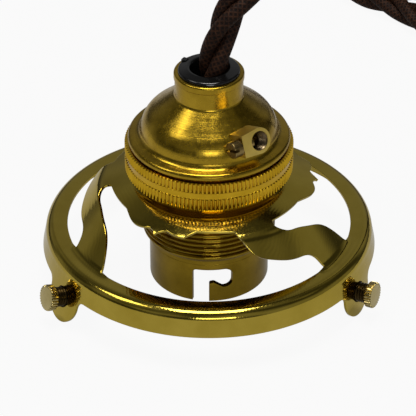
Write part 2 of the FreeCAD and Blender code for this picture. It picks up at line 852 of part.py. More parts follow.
def hank_outline(radius, height):
    """A racetrack at this distance from the hank's centre line."""
    first = V(hank_centre.x, hank_centre.y, height)
    second = first + V(hank_straight, 0, 0)
    down = V(0, -radius, 0)
    edges = [
        Part.LineSegment(first + down, second + down).toShape(),
        Part.Arc(second + down, second + V(radius, 0, 0), second - down).toShape(),
        Part.LineSegment(second - down, first - down).toShape(),
        Part.Arc(first - down, first - V(radius, 0, 0), first + down).toShape(),
    ]
    return Part.Face(Part.Wire(edges))


def make_hank():
    """Outer shape of four turns, two beside and two on each other."""
    height = 4 * flex_radius
    half_width = hank_turns_across * flex_radius
    outer = hank_outline(hank_mid_radius + half_width, floor_height).extrude(V(0, 0, height))
    inner = hank_outline(hank_mid_radius - half_width, floor_height - 1).extrude(V(0, 0, height + 2))
    return outer.cut(inner)


def make_core_ends():
    """Three bare core ends, splayed, where the flex stops inside the hank."""
    ends = []
    inner_edge = hank_centre.y - hank_mid_radius + hank_turns_across * flex_radius - core_end_radius
    for angle in core_end_angles:
        direction = polar(1.0, angle)
        start = V(hank_centre.x + hank_straight / 2, inner_edge, floor_height + core_end_radius)
        start = start + direction * 2.0 * core_end_radius
        ends.append(Part.makeCylinder(core_end_radius, core_end_length, start, direction))
    return fused(ends)


def save(name, shape):
    if not shape.isValid():
        print("invalid shape:", name)
    shape.exportStep(os.path.join("parts", name + ".step"))
    box = shape.BoundBox
    print("%-22s solids %d  volume %9.1f  z %6.1f to %6.1f" % (
        name, len(shape.Solids), shape.Volume, box.ZMin, box.ZMax))


def main():
    save("barrel", make_barrel())
    save("knurled_collar", make_collar())
    save("cap", make_cap())
    save("cord_bush", make_bush())
    save("contact_block", make_contact_block())
    for name, azimuth in contact_points():
        save("plunger_" + name, make_plunger(azimuth))
        save("spring_" + name, make_spring(azimuth))
        save("terminal_" + name, make_terminal(azimuth))
        save("terminal_screw_" + name, make_terminal_screw(azimuth))
        start = polar(1.6, azimuth, flex_route[0].z)
        save("core_" + name, make_core(start, terminal_hole_point(azimuth)))
    save("gallery", make_gallery())
    for name, (azimuth, lean) in zip(("back", "left", "right"), tab_places()):
        save("thumb_screw_" + name, make_thumb_screw(azimuth, lean))
    save("shade_ring", make_shade_ring())
    save("earth_terminal", make_earth_terminal())
    save("earth_screw", make_earth_screw())
    stem_end = earth_centre() - earth_normal() * earth_stem_length
    save("core_earth", make_core(polar(1.6, earth_azimuth, flex_route[0].z), stem_end))
    flex, flex_length, radii = swept_tube(flex_route, flex_radius)
    save("flex", flex)
    ideal = math.pi * flex_radius ** 2 * flex_length
    print("flex length %.1f  volume / (section x length) %.4f" % (flex_length, flex.Volume / ideal))
    print("flex arc radii", " ".join("%.1f" % radius for radius in radii))
    save("flex_hank", make_hank())
    save("core_ends", make_core_ends())


main()
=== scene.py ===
import json
import math

import bpy
import numpy as np
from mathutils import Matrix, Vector
from mathutils.geometry import delaunay_2d_cdt


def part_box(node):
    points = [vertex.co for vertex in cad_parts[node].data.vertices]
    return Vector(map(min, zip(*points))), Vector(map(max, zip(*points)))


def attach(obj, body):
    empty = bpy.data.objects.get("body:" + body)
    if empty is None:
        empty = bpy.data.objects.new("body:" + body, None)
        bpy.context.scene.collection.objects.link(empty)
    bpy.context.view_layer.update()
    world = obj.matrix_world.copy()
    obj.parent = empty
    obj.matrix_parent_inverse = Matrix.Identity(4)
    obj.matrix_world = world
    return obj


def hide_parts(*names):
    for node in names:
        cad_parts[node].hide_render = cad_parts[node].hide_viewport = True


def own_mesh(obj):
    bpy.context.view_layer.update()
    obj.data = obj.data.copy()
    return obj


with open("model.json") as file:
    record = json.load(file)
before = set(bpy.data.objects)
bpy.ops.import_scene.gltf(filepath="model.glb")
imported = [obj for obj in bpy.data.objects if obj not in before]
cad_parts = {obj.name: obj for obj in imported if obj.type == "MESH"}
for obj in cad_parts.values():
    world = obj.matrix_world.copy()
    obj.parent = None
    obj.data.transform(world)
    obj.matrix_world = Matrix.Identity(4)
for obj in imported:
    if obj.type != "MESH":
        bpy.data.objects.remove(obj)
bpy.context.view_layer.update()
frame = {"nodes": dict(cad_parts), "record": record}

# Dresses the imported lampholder: finer meshes for the pieces that the photograph shows, procedural
# materials for every piece, the flex, a pale floor and plain studio lamps. Names in capitals and
# the numbers in the making functions are millimetres or degrees, unless a comment says metres.

MM = 0.001
scene = bpy.context.scene
scene.view_settings.view_transform = "Standard"

# The photograph's camera: pixels, degrees, metres
IMAGE_SIDE = 416.0
FOCAL_PIXELS = 2398.0
CENTRE_PIXEL = (209.0, 217.4)
CAMERA_ELEVATION = 34.42
CAMERA_DISTANCE = 0.516

# Sizes shared with the CAD source
FLOOR_Z = 0.0
RING_TOP = 12.9
CAP_BOTTOM = 33.15
FLEX_RADIUS = 3.4
FLEX_LIE = FLOOR_Z + FLEX_RADIUS
ROUTE = [
    (0.7, 0.2, 44.6), (1.2, 0.4, 55.0), (4.6, 2.2, 63.6), (13.0, 6.0, 71.6), (25.0, 11.0, 77.5),
    (40.5, 18.0, 78.5), (54.5, 26.0, 72.0), (65.0, 35.0, 58.5), (71.5, 45.0, 41.5),
    (74.5, 56.0, 24.0), (74.0, 67.0, 9.5), (69.5, 78.0, FLEX_LIE + 0.6), (61.8, 90.5, FLEX_LIE),
    (54.0, 102.0, FLEX_LIE), (46.6, 111.2, FLEX_LIE),
]
HANK_CENTRE = (55.8, 135.0)
HANK_STRAIGHT = 26.0
HANK_OUTER = 24.4
HANK_INNER = 17.6
SHEET = 0.65
SHEET_RIM = 0.09
# (radius, height, rounding) from the hub's bore out to the skirt's foot
GALLERY_LINE = [
    (14.35, 25.9, 0), (15.6, 25.9, 1.2), (16.9, 24.9, 1.5), (23.3, 22.75, 4.0), (30.6, 12.9, 2.6),
    (34.95, 12.9, 2.15), (35.15, 10.7, 2.0), (35.8, 7.5, 0),
]
FOOT_RADIUS = 35.8
FOOT_Z = 7.5
RING_EDGE = 30.4
WINDOW_MIDDLE = 272.6
WINDOW_HALF = 50.0
# Azimuth and outward lean of each tab
TABS = {"back": (91.5, 10.0), "left": (211.5, 15.0), "right": (331.5, 5.0)}
TAB_HALF = 5.35
TAB_LENGTH = 7.3
TAB_FILLET = 1.8
THUMB_DROP = 1.8
SCREW_HOLE = 2.3
# (across, height, rounding) around one bayonet slot
SLOT_LINE = [
    (-3.1, 0.0, 0), (-3.1, 8.05, 0.9), (5.5, 8.05, 1.9), (5.5, 3.6, 1.5), (3.5, 3.45, 0.9),
    (1.5, 4.8, 0.9), (0.45, 4.55, 0.4), (0.45, 0.0, 0),
]
SLOT_AZIMUTHS = (88.0, 268.0)
WALL_RADIUS = 12.8
WALL_BORE = 11.7
THREAD_RADIUS = 14.2


def make_camera():
    """The photograph's angle: a level camera looking down at the ring's centre."""
    data = bpy.data.cameras.new("camera")
    data.sensor_width = 36.0
    data.lens = data.sensor_width * FOCAL_PIXELS / IMAGE_SIDE
    data.shift_x = (IMAGE_SIDE / 2 - CENTRE_PIXEL[0]) / IMAGE_SIDE
    data.shift_y = (CENTRE_PIXEL[1] - IMAGE_SIDE / 2) / IMAGE_SIDE
    data.clip_start = 0.01
    camera = bpy.data.objects.new("camera", data)
    elevation = math.radians(CAMERA_ELEVATION)
    target = Vector((0, 0, RING_TOP * MM))
    direction = Vector((0, -math.cos(elevation), math.sin(elevation)))
    camera.location = target + direction * CAMERA_DISTANCE
    camera.rotation_euler = (-direction).to_track_quat("-Z", "Y").to_euler()
    scene.collection.objects.link(camera)
    scene.camera = camera


make_camera()


class Nodes:
    """A small builder for material node trees."""

    def __init__(self, name):
        self.material = bpy.data.materials.new(name)
        self.material.use_nodes = True
        self.tree = self.material.node_tree
        self.tree.nodes.clear()
        self.output = self.tree.nodes.new("ShaderNodeOutputMaterial")

    def link(self, a, b):
        self.tree.links.new(a, b)

    def add(self, kind, **values):
        node = self.tree.nodes.new("ShaderNode" + kind)
        for key, value in values.items():
            node.inputs[key.replace("_", " ")].default_value = value
        return node

    def principled(self, **values):
        node = self.add("BsdfPrincipled", **values)
        self.link(node.outputs["BSDF"], self.output.inputs["Surface"])
        return node

    def coords(self):
        return self.add("TexCoord").outputs["Object"]

    def polar(self, vector):
        """Sockets for the distance from the object's axis and for the height."""
        split = self.add("SeparateXYZ")
        self.link(vector, split.inputs[0])
        across = self.math("MULTIPLY", split.outputs[0], split.outputs[0])
        depth = self.math("MULTIPLY", split.outputs[1], split.outputs[1])
        return self.math("SQRT", self.math("ADD", across, depth)), split.outputs[2]

    def noise(self, vector, scale, detail=2.0, roughness=0.5):
        node = self.add("TexNoise", Scale=scale, Detail=detail, Roughness=roughness)
        self.link(vector, node.inputs["Vector"])
        return node.outputs["Fac"]

    def ramp(self, factor, stops):
        node = self.add("ValToRGB")
        elements = node.color_ramp.elements
        while len(elements) > 1:
            elements.remove(elements[-1])
        elements[0].position = stops[0][0]
        elements[0].color = (*stops[0][1], 1)
        for position, colour in stops[1:]:
            element = elements.new(position)
            element.color = (*colour, 1)
        self.link(factor, node.inputs["Fac"])
        return node.outputs["Color"]

    def span(self, factor, low, high, from_low=0.0, from_high=1.0):
        node = self.add("MapRange", From_Min=from_low, From_Max=from_high, To_Min=low, To_Max=high)
        self.link(factor, node.inputs["Value"])
        return node.outputs["Result"]

    def math(self, operation, a, b=None):
        node = self.add("Math")
        node.operation = operation
        for index, value in enumerate((a, b)):
            if value is None:
                continue
            if isinstance(value, (int, float)):
                node.inputs[index].default_value = value
            else:
                self.link(value, node.inputs[index])
        return node.outputs["Value"]

    def bump(self, height, shader, strength, distance):
        node = self.add("Bump", Strength=strength, Distance=distance)
        self.link(height, node.inputs["Height"])
        self.link(node.outputs["Normal"], shader.inputs["Normal"])


def brass(name, bright, dark, roughness, smear=0.05, rings=0.0, grain=0.0, patch=180.0, dimple=0.0,
          swirl=0.0):
    """Metal with a slow drift of tarnish, of this scale a metre, and a fine haze in its polish.

    smear is how far the roughness drifts; rings, dimple, swirl and grain are the strengths of turned
    lines, soft dents between them, polishing marks and cast grain.
    """
    nodes = Nodes(name)
    shader = nodes.principled(Metallic=1.0, Roughness=roughness)
    vector = nodes.coords()
    drift = nodes.noise(vector, patch, 3.0, 0.6)
    colour = nodes.ramp(drift, [(0.3, dark), (0.7, bright)])
    nodes.link(colour, shader.inputs["Base Color"])
    haze = nodes.noise(vector, 900.0, 4.0, 0.65)
    rough = nodes.span(haze, max(roughness - smear, 0.02), roughness + smear, 0.3, 0.7)
    nodes.link(rough, shader.inputs["Roughness"])
    if rings > 0:
        radius, height = nodes.polar(vector)
        combined = nodes.add("CombineXYZ")
        nodes.link(radius, combined.inputs[0])
        nodes.link(height, combined.inputs[2])
        lines = nodes.noise(combined.outputs[0], 4200.0, 2.0, 0.6)
        if dimple > 0:
            soft = nodes.noise(vector, 260.0, 2.0, 0.5)
            lines = nodes.math("ADD", lines, nodes.math("MULTIPLY", soft, dimple))
        nodes.bump(lines, shader, rings, 0.00004)
    if swirl > 0:
        bent = nodes.add("TexWave", Scale=420.0, Distortion=60.0, Detail=3.0, Detail_Scale=0.12)
        nodes.link(vector, bent.inputs["Vector"])
        nodes.bump(bent.outputs["Fac"], shader, swirl, 0.00002)
    if grain > 0:
        nodes.bump(nodes.noise(vector, 2600.0, 3.0, 0.7), shader, grain, 0.00004)
    return nodes.material


def plastic(name, colour, roughness, coat=0.0, grain=0.1):
    """Moulded plastic with a slight drift of colour and a fine grain."""
    nodes = Nodes(name)
    shader = nodes.principled(Roughness=roughness, Coat_Weight=coat)
    vector = nodes.coords()
    drift = nodes.noise(vector, 250.0, 3.0)
    low = tuple(c * 0.8 for c in colour)
    nodes.link(nodes.ramp(drift, [(0.3, low), (0.7, colour)]), shader.inputs["Base Color"])
    nodes.bump(nodes.noise(vector, 1800.0, 3.0), shader, grain, 0.00004)
    return nodes.material


def braid_material():
    """Dark brown braided cotton: UV u runs along a core in mm, v once around it."""
    nodes = Nodes("flex_braid")
    shader = nodes.principled(Roughness=0.62, Specular_IOR_Level=0.15, Sheen_Weight=0.03,
                              Sheen_Roughness=0.4, Sheen_Tint=(0.45, 0.22, 0.12, 1))
    stitch, carriers = 1.1, 7
    split = nodes.add("SeparateXYZ")
    nodes.link(nodes.add("TexCoord").outputs["UV"], split.inputs[0])
    along = nodes.math("MULTIPLY", split.outputs[0], 2 * math.pi / stitch)
    around = nodes.math("MULTIPLY", split.outputs[1], 2 * math.pi * carriers)
    one = nodes.math("SINE", nodes.math("ADD", along, around))
    two = nodes.math("SINE", nodes.math("SUBTRACT", along, around))
    weave = nodes.math("MAXIMUM", one, two)
    mottled = nodes.noise(nodes.coords(), 700.0, 3.0, 0.6)
    level = nodes.math("ADD", nodes.math("MULTIPLY", weave, 0.3), mottled)
    browns = [(0.0, (0.004, 0.0014, 0.0006)), (0.55, (0.017, 0.006, 0.0026)),
              (1.0, (0.065, 0.026, 0.012))]
    colour = nodes.ramp(nodes.span(level, 0.0, 1.0, 0.2, 1.0), browns)
    nodes.link(colour, shader.inputs["Base Color"])
    nodes.bump(weave, shader, 0.5, 0.00008)
    return nodes.material


MATERIALS = {
    "polished_brass": brass("polished_brass", (0.52, 0.39, 0.06), (0.43, 0.315, 0.04), 0.10, 0.03,
                            patch=120.0, swirl=0.14),
    "spun_brass": brass("spun_brass", (0.51, 0.335, 0.03), (0.30, 0.19, 0.014), 0.24, 0.07,
                        rings=0.5, patch=150.0, dimple=4.0),
    "collar_brass": brass("collar_brass", (0.70, 0.44, 0.025), (0.53, 0.32, 0.014), 0.13, 0.04),
    "barrel_brass": brass("barrel_brass", (0.32, 0.21, 0.02), (0.22, 0.14, 0.01), 0.11, 0.03,
                          rings=0.08),
    "screw_brass": brass("screw_brass", (0.58, 0.48, 0.22), (0.47, 0.38, 0.15), 0.2, 0.05),
    "terminal_brass": brass("terminal_brass", (0.92, 0.69, 0.17), (0.76, 0.55, 0.12), 0.36, 0.08,
                            grain=0.2),
    "contact_brass": brass("contact_brass", (0.78, 0.64, 0.36), (0.66, 0.52, 0.27), 0.2, 0.05),
    "dark_screw": brass("dark_screw", (0.40, 0.28, 0.10), (0.20, 0.14, 0.05), 0.28, 0.08),
    "spring_steel": brass("spring_steel", (0.62, 0.62, 0.62), (0.5, 0.5, 0.5), 0.25, 0.05),
    "bare_copper": brass("bare_copper", (0.80, 0.42, 0.26), (0.66, 0.33, 0.2), 0.3, 0.08, grain=0.2),
    "bush_black": plastic("bush_black", (0.004, 0.004, 0.004), 0.14, 0.0, 0.05),
    "insulator": plastic("insulator", (0.78, 0.76, 0.70), 0.3, 0.3),
    "core_brown": plastic("core_brown", (0.22, 0.11, 0.06), 0.45),
    "core_blue": plastic("core_blue", (0.08, 0.16, 0.42), 0.45),
    "core_green": plastic("core_green", (0.2, 0.4, 0.1), 0.45),
    "flex_braid": braid_material(),
}
# Dark brass: the thumb screws' own dark thread, and painted shade on the tapped necks in the holes
# around the shanks
DARK_THREAD_AND_SHADE = brass("dark_thread_and_shade", (0.07, 0.045, 0.015), (0.03, 0.02, 0.007), 0.3, 0.1, grain=0.2)
# Dark brass for the earth terminal's wire hole: painted shade in the hole, darker than the metal's own
# colour
PAINTED_HOLE_SHADE = brass("painted_hole_shade", (0.22, 0.16, 0.09), (0.08, 0.06, 0.03), 0.3, 0.1)

for part in frame["record"]["subparts"]:
    node = frame["nodes"][part["node"]]
    node.data.materials.clear()
    node.data.materials.append(MATERIALS[part["material_slot"]])


def rounded_line(corners, closed=False, step=8.0):
    """Points of a line through (a, b, radius) corners, each rounded, with step degrees a run."""
    points = []
    count = len(corners)
    for index, (a, b, radius) in enumerate(corners):
        corner = np.array((a, b), float)
        if radius <= 0 or (not closed and index in (0, count - 1)):
            points.append(corner)
            continue
        to_before = np.array(corners[index - 1][:2]) - corner
        to_after = np.array(corners[(index + 1) % count][:2]) - corner
        to_before = to_before / np.linalg.norm(to_before)
        to_after = to_after / np.linalg.norm(to_after)
        half = math.acos(float(np.dot(to_before, to_after))) / 2
        middle = to_before + to_after
        centre = corner + middle / np.linalg.norm(middle) * radius / math.sin(half)
        reach = radius / math.tan(half)
        first = corner + to_before * reach - centre
        last = corner + to_after * reach - centre
        turn = math.pi - 2 * half
        parts = max(2, math.ceil(math.degrees(turn) / step))
        for part in range(parts + 1):
            share = part / parts
            blend = math.sin((1 - share) * turn) * first + math.sin(share * turn) * last
            points.append(centre + blend / math.sin(turn))
    return np.array(points)


def divided(line, longest):
    """The same line with no run longer than this."""
    points = [line[0]]
    for before, after in zip(line, line[1:]):
        parts = max(1, math.ceil(float(np.linalg.norm(after - before)) / longest))
        for part in range(1, parts + 1):
            points.append(before + (after - before) * part / parts)
    return np.array(points)


def add_piece(name, vertices, faces, materials, body, replaced=(), sharp=35.0, chosen=None):
    """A mesh piece in millimetres that rides on a body."""
    mesh = bpy.data.meshes.new(name)
    mesh.from_pydata((np.array(vertices) * MM).tolist(), [], faces)
    mesh.polygons.foreach_set("use_smooth", [True] * len(mesh.polygons))
    for material in materials:
        mesh.materials.append(material)
    if chosen is not None:
        mesh.polygons.foreach_set("material_index", chosen)
    mesh.update()
    if sharp:
        mesh.set_sharp_from_angle(angle=math.radians(sharp))
    obj = bpy.data.objects.new(name, mesh)
    scene.collection.objects.link(obj)
    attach(obj, body)
    if replaced:
        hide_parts(*replaced)
    return obj


def lathe(profile, segments, modulation=None):
    """Vertices and faces of a (radius, height) profile turned about Z.

    The profile runs anticlockwise, and is closed unless both its ends lie on the axis.
    """
    poles = profile[0][0] == 0 and profile[-1][0] == 0
    line = profile[1:-1] if poles else profile
    count = len(line)
    angles = np.arange(segments) * 2 * math.pi / segments
    vertices = []
    for angle in angles:
        radii = line[:, 0]
        if modulation is not None:
            radii = radii - modulation(angle, line)
        vertices.append(np.stack([radii * math.cos(angle), radii * math.sin(angle), line[:, 1]], axis=1))
    faces = []
    for turn in range(segments):
        here = turn * count
        there = ((turn + 1) % segments) * count
        for index in range(count - 1 if poles else count):
            following = (index + 1) % count
            faces.append((here + index, there + index, there + following, here + following))
        if poles:
            faces.append((here, segments * count, there))
            faces.append((here + count - 1, there + count - 1, segments * count + 1))
    if poles:
        vertices.append(np.array([(0, 0, profile[0][1]), (0, 0, profile[-1][1])]))
    return np.concatenate(vertices), faces


def polar_plane(azimuth, reach, start):
    """Places in a flat plan, where reach counts outwards from the radius start."""
    radius = start + reach
    return np.stack([radius * np.cos(azimuth), radius * np.sin(azimuth)], axis=-1)


def inside(points, loop):
    """Which points lie within a closed loop."""
    result = np.zeros(len(points), bool)
    for before, after in zip(loop, np.roll(loop, -1, axis=0)):
        crosses = (before[1] > points[:, 1]) != (after[1] > points[:, 1])
        rise = after[1] - before[1]
        if rise == 0:
            continue
        at = before[0] + (points[:, 1] - before[1]) * (after[0] - before[0]) / rise
        result ^= crosses & (points[:, 0] < at)
    return result


def sheet_solid(outer, holes, rows, start, place, rim, around):
    """A curved sheet with a trimmed outline, as a closed mesh.

    outer and holes are loops of (azimuth, reach); rows are the reaches of the inner points, of which
    each row has around; place gives the outer and the under point for an azimuth and a reach; start
    is the plan's radius at no reach; rim is the edge's rounding.
    """
    clear = 0.28
    batch = 2000
    loops = [outer] + list(holes)
    flat = [polar_plane(loop[:, 0], loop[:, 1], start) for loop in loops]
    for index, loop in enumerate(flat):
        x, y = loop[:, 0], loop[:, 1]
        turn = np.sum(x * np.roll(y, -1) - y * np.roll(x, -1))
        if (turn > 0) != (index == 0):
            flat[index] = loop[::-1]
            loops[index] = loops[index][::-1]
    azimuths = np.arange(around) * 2 * math.pi / around
    grid = np.array([(a + (k % 2) * math.pi / around, r) for k, r in enumerate(rows) for a in azimuths])
    grid_flat = polar_plane(grid[:, 0], grid[:, 1], start)
    keep = inside(grid_flat, flat[0])
    for loop in flat[1:]:
        keep &= ~inside(grid_flat, loop)
    edge_points = np.concatenate(flat)
    for first in range(0, len(grid_flat), batch):
        part = grid_flat[first:first + batch]
        apart = np.min(np.linalg.norm(part[:, None, :] - edge_points[None, :, :], axis=2), axis=1)
        keep[first:first + batch] &= apart > clear
    places = np.concatenate(loops + [grid[keep]])
    points = np.concatenate(flat + [grid_flat[keep]])
    edges = []
    spans = []
    first = 0
    for loop in flat:
        count = len(loop)
        spans.append((first, count))
        edges += [(first + k, first + (k + 1) % count) for k in range(count)]
        first += count
    found = delaunay_2d_cdt([Vector(p) for p in points], edges, [], 0, 1e-7)
    flat_out, triangles, origins = found[0], found[2], found[3]
    new_index = {}
    for index, sources in enumerate(origins):
        for source in sources:
            new_index[source] = index
    used = np.array([sources[0] if sources else -1 for sources in origins])
    centre = np.array([np.mean([flat_out[v][:] for v in face], axis=0) for face in triangles])
    good = inside(centre, flat[0])
    for loop in flat[1:]:
        good &= ~inside(centre, loop)
    tops = []
    unders = []
    for source in used:
        azimuth, reach = places[source] if source >= 0 else places[0]
        top, under = place(azimuth, reach)
        tops.append(top)
        unders.append(under)
    tops = np.array(tops)
    unders = np.array(unders)
    total = len(tops)
    vertices = [tops, unders]
    faces = []
    for face, keeps in zip(triangles, good):
        if keeps:
            faces.append(tuple(face))
            faces.append(tuple(total + v for v in reversed(face)))
    base = 2 * total
    for first, count in spans:
        ring = [new_index[first + k] for k in range(count)]
        top, under = tops[ring], unders[ring]
        along = np.roll(top, -1, axis=0) - np.roll(top, 1, axis=0)
        normal = top - under
        thickness = np.linalg.norm(normal, axis=1)[:, None]
        normal = normal / thickness
        out = np.cross(along, normal)
        out = out / np.linalg.norm(out, axis=1)[:, None]
        top = top - out * rim
        under = under - out * rim
        vertices[0][ring] = top
        vertices[1][ring] = under
        rows_of_rim = []
        for base_row, inwards, angles in ((top, -normal, (30, 60, 90)), (under, normal, (90, 60, 30))):
            for angle in angles:
                side = math.sin(math.radians(angle))
                drop = 1 - math.cos(math.radians(angle))
                rows_of_rim.append(base_row + out * rim * side + inwards * rim * drop)
        strips = [list(ring)]
        for row in rows_of_rim:
            strips.append(list(range(base, base + count)))
            vertices.append(row)
            base += count
        strips.append([total + v for v in ring])
        for upper, lower in zip(strips, strips[1:]):
            for k in range(count):
                following = (k + 1) % count
                faces.append((upper[following], upper[k], lower[k], lower[following]))
    return np.concatenate(vertices), faces


def natural_spline(points, step):
    """A smooth line through plan points, sampled at about this step."""
    points = np.array(points, float)
    lengths = np.r_[0, np.cumsum(np.linalg.norm(np.diff(points, axis=0), axis=1))]
    count = len(points)
    matrix = np.eye(count)
    target = np.zeros((count, 2))
    for k in range(1, count - 1):
        before, after = lengths[k] - lengths[k - 1], lengths[k + 1] - lengths[k]
        matrix[k, k - 1:k + 2] = (before, 2 * (before + after), after)
        target[k] = 6 * ((points[k + 1] - points[k]) / after - (points[k] - points[k - 1]) / before)
    bends = np.linalg.solve(matrix, target)
    samples = []
    for k in range(count - 1):
        span = lengths[k + 1] - lengths[k]
        parts = max(2, math.ceil(span / step))
        for part in range(parts):
            t = part / parts * span
            left = span - t
            value = (bends[k] * left ** 3 + bends[k + 1] * t ** 3) / (6 * span)
            value = value + (points[k] / span - bends[k] * span / 6) * left
            value = value + (points[k + 1] / span - bends[k + 1] * span / 6) * t
            samples.append(value)
    return samples


def plan_arc(first, middle, last, step):
    """A circle's arc through three plan points, without its last point."""
    a, b, c = (np.array(p, float) for p in (first, middle, last))
    rows = np.array([b - a, c - a])
    right = np.array([(b @ b - a @ a) / 2, (c @ c - a @ a) / 2])
    centre = np.linalg.solve(rows, right)
    radius = np.linalg.norm(a - centre)
    start, mid, end = (math.atan2(*(p - centre)[::-1]) for p in (a, b, c))
    sweep = (end - start) % (2 * math.pi)
    if (mid - start) % (2 * math.pi) > sweep:
        sweep -= 2 * math.pi
    parts = max(2, math.ceil(abs(sweep) * radius / step))
    turns = start + sweep * np.arange(parts) / parts
    return [centre + radius * np.array((math.cos(t), math.sin(t))) for t in turns]


# (azimuth, radius) of the named turns in the outline of one gap between two arms
GAP = {
    "ring_start": (WINDOW_MIDDLE - WINDOW_HALF, RING_EDGE),
    "ring_end": (WINDOW_MIDDLE + WINDOW_HALF, RING_EDGE),
    "root": (284.4, 21.2), "dip": (263.0, 20.8), "lobe": (256.6, 22.6), "valley": (246.2, 21.7),
    "horn": (240.5, 23.3), "notch": (235.4, 22.2), "shoulder": (214.0, 20.9), "corner": (188.6, 21.0),
}


def window_plan(turn):
    """Plan points of the gap between two arms, turned about Z."""
    def at(azimuth, radius):
        angle = math.radians(azimuth + turn)
        return (radius * math.cos(angle), radius * math.sin(angle))

    g = {key: at(*value) for key, value in GAP.items()}
    step = 0.4
    line = plan_arc(g["ring_start"], at(WINDOW_MIDDLE, RING_EDGE), g["ring_end"], step)
    line += natural_spline([g["ring_end"], at(321.2, 29.0), at(312.0, 27.7), at(300.0, 26.7),
                            at(291.5, 25.4), at(287.0, 23.4), g["root"]], step)
    line += plan_arc(g["root"], at(274.0, 20.9), g["dip"], step)
    line += plan_arc(g["dip"], at(260.0, 21.6), g["lobe"], step)
    line += plan_arc(g["lobe"], at(251.6, 22.4), g["valley"], step)
    line += plan_arc(g["valley"], at(243.6, 22.2), g["horn"], step)
    line += plan_arc(g["horn"], at(238.2, 22.4), g["notch"], step)
    line += natural_spline([g["notch"], at(231.5, 22.7), at(226.0, 22.7), at(220.5, 21.9),
                            g["shoulder"]], step)
    line += plan_arc(g["shoulder"], at(201.0, 20.9), g["corner"], step)
    line += natural_spline([g["corner"], at(187.4, 22.2), at(191.0, 23.7), at(198.0, 24.3),
                            at(207.0, 25.1), at(214.5, 26.2), at(219.6, 28.2), g["ring_start"]], step)
    return np.array(line)


def make_gallery():
    """The pressed sheet: hub, three arms, ring, skirt and leaning tabs, with rounded edges."""
    line = divided(rounded_line(GALLERY_LINE, step=5.0), 0.75)
    steps = np.linalg.norm(np.diff(line, axis=0), axis=1)
    reach = np.r_[0, np.cumsum(steps)]
    foot = reach[-1]
    slope = np.diff(line, axis=0) / steps[:, None]
    slope = np.concatenate([slope[:1], (slope[1:] + slope[:-1]) / 2, slope[-1:]])
    slope = slope / np.linalg.norm(slope, axis=1)[:, None]
    normal = np.stack([-slope[:, 1], slope[:, 0]], axis=1)
    plan_start = 12.0
    flat_from, flat_to, flat_fade = RING_EDGE - 0.2, 32.2, 4.0

    def lean_at(azimuth):
        degrees = math.degrees(azimuth) % 360
        nearest = min(TABS.values(), key=lambda tab: abs((degrees - tab[0] + 180) % 360 - 180))
        return math.radians(nearest[1])

    def place(azimuth, s):
        if s <= foot:
            r, z = np.interp(s, reach, line[:, 0]), np.interp(s, reach, line[:, 1])
            nr, nz = np.interp(s, reach, normal[:, 0]), np.interp(s, reach, normal[:, 1])
            if flat_from < r < flat_to:
                # Between the arms' feet the ring stays flat up to its inner edge
                away = abs((math.degrees(azimuth) - WINDOW_MIDDLE + 60) % 120 - 60)
                level = min(max((WINDOW_HALF - away) / flat_fade, 0.0), 1.0)
                z = z + (RING_TOP - z) * level
                nr, nz = nr * (1 - level), nz * (1 - level) + level
        else:
            lean = lean_at(azimuth)
            nr, nz = math.cos(lean), math.sin(lean)
            r, z = FOOT_RADIUS + (s - foot) * nz, FOOT_Z - (s - foot) * nr
        length = math.hypot(nr, nz)
        r2, z2 = r - SHEET * nr / length, z - SHEET * nz / length
        c, d = math.cos(azimuth), math.sin(azimuth)
        return (r * c, r * d, z), (r2 * c, r2 * d, z2)

    ring_top_end = 34.0
    flat_part = line[:, 0] < ring_top_end
    windows = []
    for turn in (0, 120, 240):
        plan = window_plan(turn)
        radius = np.hypot(plan[:, 0], plan[:, 1])
        windows.append(np.stack([np.arctan2(plan[:, 1], plan[:, 0]),
                                 np.interp(radius, line[flat_part, 0], reach[flat_part])], axis=1))
    half, fillet = TAB_HALF, TAB_FILLET
    tongue = []
    for angle in np.linspace(0, 90, 7):
        turn = math.radians(angle)
        tongue.append((half + fillet - fillet * math.sin(turn), fillet * (1 - math.cos(turn))))
    for angle in np.linspace(0, 90, 17):
        turn = math.radians(angle)
        tongue.append((half * math.cos(turn), TAB_LENGTH - half + half * math.sin(turn)))
    tongue = np.array(tongue)
    tongue = np.concatenate([tongue, (tongue * (-1, 1))[::-1][1:]])
    outer = []
    places = sorted(TABS.values())
    for index, (azimuth, lean) in enumerate(places):
        for x, down in tongue[::-1]:
            radius = FOOT_RADIUS + down * math.sin(math.radians(lean))
            outer.append((math.radians(azimuth) + math.asin(x / radius), foot + down))
        following = places[(index + 1) % 3][0] + (360 if index == 2 else 0)
        gap = math.degrees(math.asin((half + fillet) / FOOT_RADIUS))
        for angle in np.linspace(azimuth + gap, following - gap, 130)[1:-1]:
            outer.append((math.radians(angle), foot))
    hub_hole = [(2 * math.pi * k / 240, 0.0) for k in range(240)]
    holes = [np.array(hub_hole)] + windows
    for azimuth, lean in TABS.values():
        circle = []
        for k in range(36):
            turn = 2 * math.pi * k / 36
            down = THUMB_DROP - SCREW_HOLE * math.cos(turn)
            radius = FOOT_RADIUS + max(down, 0) * math.sin(math.radians(lean))
            angle = math.radians(azimuth) + math.asin(SCREW_HOLE * math.sin(turn) / radius)
            circle.append((angle, foot + down))
        holes.append(np.array(circle))
    tab_row = 0.7
    tab_rows = np.arange(foot + tab_row, foot + TAB_LENGTH, tab_row)
    rows = np.concatenate([reach[1:-1], tab_rows])
    vertices, faces = sheet_solid(np.array(outer), holes, rows, plan_start, place, SHEET_RIM, 288)
    add_piece("pressed_gallery", vertices, faces, [MATERIALS["polished_brass"]], "holder", ["gallery"],
              sharp=14.0)


